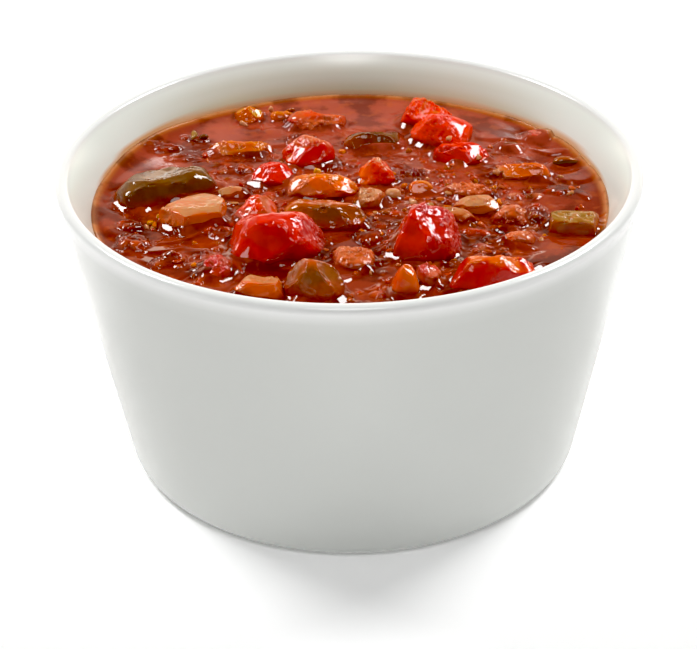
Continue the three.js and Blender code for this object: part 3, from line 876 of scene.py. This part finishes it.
# Widths of the fields that say where lumps lie, in patches and beside pieces, and of the fields that
# make the climb at the pieces uneven and break up the moat round it.
PATCH_FIELD = 6.0
BESIDE_FIELD = 4.0
CLIMB_FIELD = 2.8
MOAT_FIELD = 5.0
# Smooth films of sauce that lean a little away from the front: middle, size, turn and slope.
FILMS = (
    ((-31.6, -15.6), (15, 4.6), 20, 0.13), ((-25.2, -15.4), (8, 5), 70, 0.12),
    ((-39.6, 0.5), (6, 4), 60, 0.1), ((17, 13.5), (15, 4), 0, 0.05), ((40.2, 9.3), (8, 7), 0, 0.09),
    ((16.1, -27.3), (6, 7), 0, 0.06), ((33.6, -21.4), (12, 5), 35, 0.07),
    ((13.8, 2.2), (8, 2.4), -5, 0.1), ((-7.6, -22.6), (12, 4), 5, 0.06), ((-1.2, -26.4), (6, 5), 0, 0.07),
    ((36.7, 19.5), (8, 2.6), -25, 0.09), ((35.8, 2.7), (7, 2.2), -5, 0.13),
    ((-40, -6), (7, 16), 15, 0.02), ((-20, -15), (7, 4), 0, 0.08), ((-4, -24.5), (9, 4), -10, 0.1),
    ((-16, 24.5), (16, 4), 5, 0.07), ((27, 27), (13, 6), -20, 0.05), ((12, 19), (9, 3), 0, 0.07),
    ((24.4, -16.8), (8, 2.4), -35, 0.12), ((40.6, 3), (9, 2), -70, 0.12),
    ((-29.7, -12.6), (9, 3), 25, 0.12), ((-34.1, -20), (7, 3), -50, 0.12),
    ((-24.6, -15.2), (6, 4), 60, 0.12),
)
FILM_LEVEL = 0.15
CLIMB_SLOPE = 0.62
CLIMB_REACH = 1.1
# Smooth crescents of sauce at the feet of pieces: middle, and the lamp that each one mirrors.
CRESCENTS = (
    ((-10.5, -31.8), LEFT_SHINE), ((-2.4, -33), RIGHT_SHINE), ((12.2, -31.5), RIGHT_SHINE),
    ((30.6, -26.4), RIGHT_SHINE), ((7, -20.8), LEFT_SHINE), ((-40.2, -0.8), LEFT_SHINE),
    ((16.9, -21.5), RIGHT_SHINE), ((-31.5, -9.4), LEFT_SHINE), ((-17.2, 6.6), LEFT_SHINE),
)
CRESCENT_SIZE = (2.2, 0.9)
CRESCENT_LEVEL = 0.5
# How softly two heights join, the moat round the climb at a piece, and the climb at the wall.
JOIN = 0.12
MOAT_DEPTH = 0.15
MOAT_WIDTH = 0.6
MOAT_GAP = 0.5
WALL_CLIMB = 0.5
WALL_REACH = 0.6
RUN_UP_SLOPE = 0.42
RUN_UP_JOIN = 0.5
# How far the sauce's edge reaches into the wall, and the levels of the rings that lie under its top.
WALL_OVERLAP = 0.05
RING_LEVELS = (SAUCE_LEVEL - 3, FLOOR_LEVEL + FLOOR_CORNER)


def shore_distance(outline, x, y):
    """Distance in plan from a piece's outline, negative inside it: how much further out a point is
    than the outline in its direction, less as the outline runs aslant."""
    middle, turns, radius, slant = outline
    dx = x - middle[0]
    dy = y - middle[1]
    angle = np.arctan2(dy, dx)
    slope = np.interp(angle, turns, slant)
    return (np.hypot(dx, dy) - np.interp(angle, turns, radius)) / np.sqrt(1 + slope**2)


def hump_height(spec, x, y):
    """Height of a hump's top over the sauce's level, far below it outside the hump."""
    plan = spec["plan"]
    length, width, depth = (s / 2 for s in spec["size"])
    along, across = turned_by(x - spec["at"][0], y - spec["at"][1], spec["turn"])
    ratio = (np.abs(along / length) ** plan + np.abs(across / width) ** plan) ** (1 / plan)
    inside = np.clip(1 - ratio ** spec["side"], 0, None) ** (1 / spec["side"])
    return np.where(ratio < 1, spec["rise"] - depth + depth * inside, -depth)


def bell(x, y, middle, spread):
    """A bell curve in plan, 1 at its middle."""
    return np.exp(-(((x - middle[0]) / spread[0]) ** 2) - ((y - middle[1]) / spread[1]) ** 2)


def sauce_surface(x, y):
    """Height of the sauce over its level, how much of it is a lump and the lump's own number. It is
    calm at the back and livelier in front, with lumps in patches and round the pieces, and it rises at
    each piece, at each hump and at the wall. A soft join of two heights is JOIN times the log of their
    summed exponentials."""
    flat = np.stack([x, y, 0 * x], -1)
    wall = SAUCE_RADIUS - np.hypot(x, y)
    liveliness = BACK_WAVES + (1 - BACK_WAVES) * smooth_step(-y, -32, -8)
    height = sum((field(flat, width, 70 + i) - 0.5) * rise for i, (width, rise) in enumerate(WAVES))
    height = height * liveliness
    near = np.full(x.shape, 99.0)
    for outline in shores:
        near = np.minimum(near, shore_distance(outline, x, y))
    wobble = near + WOBBLE[1] * (field(flat, WOBBLE[0], 77) - 0.5)
    lumpy = field(flat, PATCH_FIELD, 91) + MIDDLE_LUMPS * bell(x, y, *LUMPY_MIDDLE)
    patches = smooth_step(lumpy, 0.36, 0.6)
    beside = (1 - smooth_step(wobble, 0.5, 2.6)) * smooth_step(field(flat, BESIDE_FIELD, 93), 0.55, 0.7)
    inland = smooth_step(-y, -30, -8) * smooth_step(wall, 6, 14)
    pulpy = np.maximum(patches, beside) * inland * smooth_step(wobble, 0.4, 1.6)
    warp = WARP[1] * (field(flat, WARP[0], 94) - 0.5)
    for middle, size, turn, slope in FILMS:
        along, across = turned_by(x - middle[0] + warp, y - middle[1] - warp, turn)
        part = 1 - smooth_step(np.hypot(along / size[0] * 2, across / size[1] * 2), 0.7, 1.1)
        height = height + part * (FILM_LEVEL - slope * (y - middle[1]) - 0.85 * height)
        pulpy = pulpy * (1 - part)
    for hump in HUMPS:
        over = hump_height(hump, x + warp, y - warp)
        height = JOIN * np.logaddexp(height / JOIN, over / JOIN)
        pulpy = np.maximum(pulpy, 0.6 * smooth_step(over, -0.4, 0.3))
    covered = np.zeros(x.shape)
    shade = np.zeros(x.shape)
    for i, (width, rise, share) in enumerate(LUMPS):
        ball, number = lumps(flat, width, 96 + i)
        ball = ball * pulpy * smooth_step(number, 1 - share - 0.1, 1 - share + 0.1)
        height = height + ball * rise
        shade = np.where(ball > covered, (number * 37) % 1, shade)
        covered = np.maximum(covered, ball)
    uneven = smooth_step(field(flat, CLIMB_FIELD, 81), 0.25, 0.8)
    reach = CLIMB_REACH * (0.35 + 0.9 * uneven)
    height = height + CLIMB_SLOPE * JOIN * np.logaddexp(0, (reach - np.maximum(near, -0.3)) / JOIN)
    moat = np.exp(-(((near - reach - MOAT_GAP) / MOAT_WIDTH) ** 2))
    moat = moat * smooth_step(field(flat, MOAT_FIELD, 95), 0.2, 0.4)
    height = height - MOAT_DEPTH * moat
    for middle, shine in CRESCENTS:
        up, along = turned_by(x - middle[0], y - middle[1], shine[0] + 180)
        part = 1 - smooth_step(np.hypot(along / CRESCENT_SIZE[0], up / CRESCENT_SIZE[1]), 0.75, 1.15)
        height = height + part * (CRESCENT_LEVEL + CLIMB_SLOPE * up - height)
        covered = covered * (1 - part)
    climb = run_up(x, y)
    ramp = np.logaddexp(0, (climb / RUN_UP_SLOPE - np.maximum(wall, 0)) / RUN_UP_JOIN)
    height = height + RUN_UP_SLOPE * RUN_UP_JOIN * ramp * smooth_step(climb, 0, 0.3)
    at_wall = WALL_CLIMB * np.exp(-np.maximum(wall, 0) / WALL_REACH)
    height = height + at_wall * (1 - smooth_step(climb, 0.2, 0.9))
    return height, covered, shade


def disc_grid(cells):
    """Points of a unit disc from a square grid: each square ring of the grid becomes a circle."""
    a, b = np.meshgrid(np.linspace(-1, 1, cells + 1), np.linspace(-1, 1, cells + 1), indexing="ij")
    wide = np.abs(a) > np.abs(b)
    radius = np.where(wide, a, b)
    safe = np.where(radius == 0, 1, radius)
    angle = np.where(wide, np.pi / 4 * b / safe, np.pi / 2 - np.pi / 4 * a / safe)
    return radius * np.cos(angle), radius * np.sin(angle)


def sauce_shape():
    """Sauce's top as a square grid drawn into a disc, and under its edge rings that follow the wall."""
    side = SAUCE_CELLS + 1
    u, v = disc_grid(SAUCE_CELLS)
    x = (u * SAUCE_RADIUS).ravel()
    y = (v * SAUCE_RADIUS).ravel()
    height, covered, shade = sauce_surface(x, y)
    z = SAUCE_LEVEL + height
    rim = np.hypot(x, y) > SAUCE_RADIUS - 1e-6
    spread = np.where(rim, (inner_radius(z) + WALL_OVERLAP) / SAUCE_RADIUS, 1)
    top = np.column_stack([x * spread, y * spread, z])
    index = np.arange(side * side).reshape(side, side)
    quads = np.stack([index[:-1, :-1], index[1:, :-1], index[1:, 1:], index[:-1, 1:]], -1).reshape(-1, 4)
    edge = np.concatenate([index[:-1, 0], index[-1, :-1], index[:0:-1, -1], index[0, :0:-1]])
    faces = quads.tolist()
    points = [top]
    upper = edge
    base = len(top)
    for level in RING_LEVELS:
        ring = top[edge].copy()
        ring[:, :2] *= inner_radius(level) / np.hypot(ring[:, 0], ring[:, 1])[:, None]
        ring[:, 2] = level
        points.append(ring)
        lower = base + np.arange(len(edge))
        faces += np.stack([upper, lower, np.roll(lower, -1), np.roll(upper, -1)], -1).tolist()
        upper = lower
        base += len(edge)
    points.append(np.array([[0, 0, RING_LEVELS[-1]]]))
    faces += np.stack([upper, 0 * upper + base, np.roll(upper, -1)], -1).tolist()
    return np.concatenate(points), faces, covered, shade


SAUCE_SHADE = (0.45, 0.34, 0.3)
FINE_PULP = (0.45, 0.08, 0.015)


def sauce_finish():
    """Thin tomato sauce: dark red, mottled with fine orange pulp, under a clear wet surface."""
    finish = Finish(bpy.data.materials.new("wet_sauce"))
    cloud = finish.noise(150, 5)
    grain = finish.noise(1200, 3)
    pulp = finish.noise(420, 6)
    tone = finish.stored("tone", "Color")
    shaded = finish.mix(cloud.step(0.44, 0.6) * 0.85, tone, SAUCE_SHADE, "MULTIPLY")
    mottled = finish.mix(pulp.step(0.52, 0.68) * 0.35, shaded, FINE_PULP)
    height = grain * (finish.stored("crust", "Fac") * 0.3 + 0.006)
    return wet_surface(finish, mottled, 0.02 + grain * 0.03, height, 0.2, 2 * MM)


SAUCE_RED = (0.26, 0.03, 0.007)
# Behind, the sauce is paler and bluer: partly its own tone, partly a painted sheen of the backdrop.
SAUCE_BACK_AND_SHEEN = (0.39, 0.067, 0.033)
SAUCE_BACK_FADE = (-18, 32)
SAUCE_DARK = (0.16, 0.013, 0.002)
DARK_SHARE = 0.75
DARK_FIELD = 7.0
LUMP_SHARE = 0.85
LUMP_TONES = (
    (0.48, 0.07, 0.012), (0.4, 0.035, 0.008), (0.44, 0.08, 0.025), (0.52, 0.13, 0.045),
    (0.46, 0.05, 0.012), (0.38, 0.05, 0.01), (0.34, 0.035, 0.006), (0.46, 0.03, 0.01),
    (0.42, 0.05, 0.01), (0.34, 0.07, 0.01), (0.42, 0.04, 0.008), (0.36, 0.035, 0.008),
)
SAUCE_EDGE = (0.56, 0.16, 0.03)
SAUCE_FILM = (0.68, 0.3, 0.13)
EDGE_WIDTH = 1.7

sauce_points, sauce_faces, covered, shade = sauce_shape()
spare = (0, len(sauce_points) - len(covered))
covered = np.pad(covered, spare)
shade = np.pad(shade, spare)
sauce = new_piece("salsa_sauce", sauce_points, sauce_faces)
wall_gap = SAUCE_RADIUS - np.hypot(sauce_points[:, 0], sauce_points[:, 1])
behind = smooth_step(sauce_points[:, 1], *SAUCE_BACK_FADE)
deep = DARK_SHARE * smooth_step(field(sauce_points * (1, 1, 0), DARK_FIELD, 88), 0.35, 0.7)
lump_tone = np.array(LUMP_TONES)[(shade * len(LUMP_TONES)).astype(int)]
# Paler behind, partly a painted sheen.
tone = toned(SAUCE_RED, SAUCE_BACK_AND_SHEEN, behind)
tone = toned(tone, SAUCE_DARK, deep * (1 - 0.6 * behind))
tone = toned(tone, lump_tone, LUMP_SHARE * smooth_step(covered, 0.1, 0.5))
tone = toned(tone, SAUCE_EDGE, (1 - smooth_step(wall_gap, 0.2, EDGE_WIDTH)) ** 2)
tone = toned(tone, SAUCE_FILM, 1 - smooth_step(wall_gap, 0.0, 0.5))
put_values(sauce, "tone", tone)
put_values(sauce, "crust", covered)
sauce.data.materials.append(sauce_finish())
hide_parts("sauce")


# Crumbs of pulp, mostly sunk in the sauce: broken bits of tomato, pepper and onion, thickest in the
# middle and beside the pieces and few at the back. All of them are one mesh.
CRUMBS = 130
CRUMBY_MIDDLE = ((12, 1), (20, 11))
CRUMB_BACK = 24
CRUMB_BESIDE = 2.2
CRUMB_WALL_GAP = 4
CRUMB_CRUST = 0.4
CRUMB_SIDES = 10
CRUMB_LEVELS = 6
CRUMB_TONES = (
    BROWN_ORANGE, (0.45, 0.05, 0.01), AMBER, (0.4, 0.08, 0.02),
    BEIGE, YELLOW_OLIVE, FLESH_ORANGE, DARK_PULP,
)
# Bits that the photo shows one by one: place in plan, half sizes, height over the sauce and tone. One
# that is higher than RESTS_ON_PIECE lies on a piece, and its height is over the sauce's level.
RESTS_ON_PIECE = 1
FLECKS = (
    ((-29.1, 27.4), (1.5, 0.7, 0.5), 0.2, OLIVE_GREEN), ((-27.3, 26.6), (1.1, 0.5, 0.4), 0.2, OLIVE),
    ((-34.6, -6.0), (0.6, 0.5, 0.5), 0.2, YELLOW), ((-33.8, -7.2), (0.7, 0.5, 0.5), 0.3, AMBER),
    ((-35.1, -7.6), (0.6, 0.4, 0.4), 0.1, CREAM), ((-33.2, -5.6), (0.5, 0.4, 0.4), 0.3, YELLOW),
    ((-5.7, 5.4), (0.8, 0.6, 0.8), 3.4, YELLOW), ((-19.9, 33.2), (0.9, 0.5, 0.5), 0.2, CREAM),
    ((-14.9, 37.4), (0.7, 0.5, 0.5), 1.2, CREAM), ((-11.2, 38.0), (0.8, 0.5, 0.5), 0.6, YELLOW_OLIVE),
    ((14.2, -2.4), (0.9, 0.5, 0.4), 0.4, OLIVE_GREEN), ((11.0, -1.2), (0.8, 0.6, 0.5), 0.3, CREAM),
    ((18.5, 20.6), (0.8, 0.5, 0.5), 2.4, CREAM), ((23.5, 13.8), (0.7, 0.5, 0.5), 0.8, BEIGE),
    ((9.8, 5.2), (0.8, 0.5, 0.4), 0.3, AMBER), ((26.4, 8.6), (0.8, 0.6, 0.5), 0.6, BEIGE),
)


def crumb_places(count):
    """Places in plan, drawn at random over the sauce and kept where they clear the wall and the
    pieces, most often in the middle and close to a piece."""
    draws = np.random.default_rng(5)
    places = draws.uniform(-SAUCE_RADIUS, SAUCE_RADIUS, (count * 40, 2))
    near = np.min([shore_distance(outline, *places.T) for outline in shores], axis=0)
    middle = bell(*places.T, *CRUMBY_MIDDLE)
    chance = np.where(places[:, 1] > CRUMB_BACK, 0.04, 0.08 + 0.3 * (near < CRUMB_BESIDE) + 0.6 * middle)
    kept = (np.hypot(*places.T) < SAUCE_RADIUS - CRUMB_WALL_GAP) & (near > 0.2)
    kept = kept & (draws.random(len(near)) < chance)
    return places[kept][:count], draws


def crumb_mesh():
    """Each crumb is a ball drawn out by its own three sizes, swollen by sines and turned in plan."""
    places, draws = crumb_places(CRUMBS)
    count = len(places)
    half = draws.uniform(0.35, 1.0, (count, 1, 3)) * (0.9, 0.7, 0.6)
    lift = draws.uniform(-0.35, 0.1, (count, 1))
    tones = np.array(CRUMB_TONES)[draws.integers(0, len(CRUMB_TONES), count)]
    fleck_places, fleck_halves, fleck_lifts, fleck_tones = zip(*FLECKS)
    places = np.concatenate([places, fleck_places])
    half = np.concatenate([half, np.array(fleck_halves)[:, None]])
    lift = np.concatenate([lift, np.array(fleck_lifts)[:, None]])
    tones = np.concatenate([tones, fleck_tones])
    count = len(places)
    heights = np.where(lift > RESTS_ON_PIECE, 0, sauce_surface(*places.T)[0][:, None])
    u = np.linspace(0, 2 * np.pi, CRUMB_SIDES, endpoint=False)
    v = np.linspace(-np.pi / 2, np.pi / 2, CRUMB_LEVELS + 1)[1:-1, None]
    ball = np.stack([np.cos(v) * np.cos(u), np.cos(v) * np.sin(u), np.sin(v) + 0 * u], -1).reshape(-1, 3)
    ball = np.concatenate([[[0, 0, -1]], ball, [[0, 0, 1]]])
    phase = draws.uniform(0, 7, (count, 1))
    swell = 1 + 0.25 * np.sin(3 * ball[:, 0] + phase) + 0.2 * np.sin(4 * ball[:, 1] - 2 * phase)
    points = ball * half * swell[..., None]
    turn = draws.uniform(0, np.pi, (count, 1))
    x = points[..., 0] * np.cos(turn) - points[..., 1] * np.sin(turn) + places[:, :1]
    y = points[..., 0] * np.sin(turn) + points[..., 1] * np.cos(turn) + places[:, 1:]
    z = points[..., 2] + SAUCE_LEVEL + heights + lift
    one = ring_faces(CRUMB_LEVELS - 1, CRUMB_SIDES)
    faces = [[i + start for i in face] for start in range(0, count * len(ball), len(ball)) for face in one]
    return np.stack([x, y, z], -1).reshape(-1, 3), faces, np.repeat(tones, len(ball), axis=0)


crumb_points, crumb_faces, crumb_tones = crumb_mesh()
crumbs = new_piece("pulp_crumbs", crumb_points, crumb_faces)
put_values(crumbs, "tone", crumb_tones)
put_values(crumbs, "crust", np.full(len(crumb_points), CRUMB_CRUST))
crumbs.data.materials.append(FOOD_FINISH["pulp"])
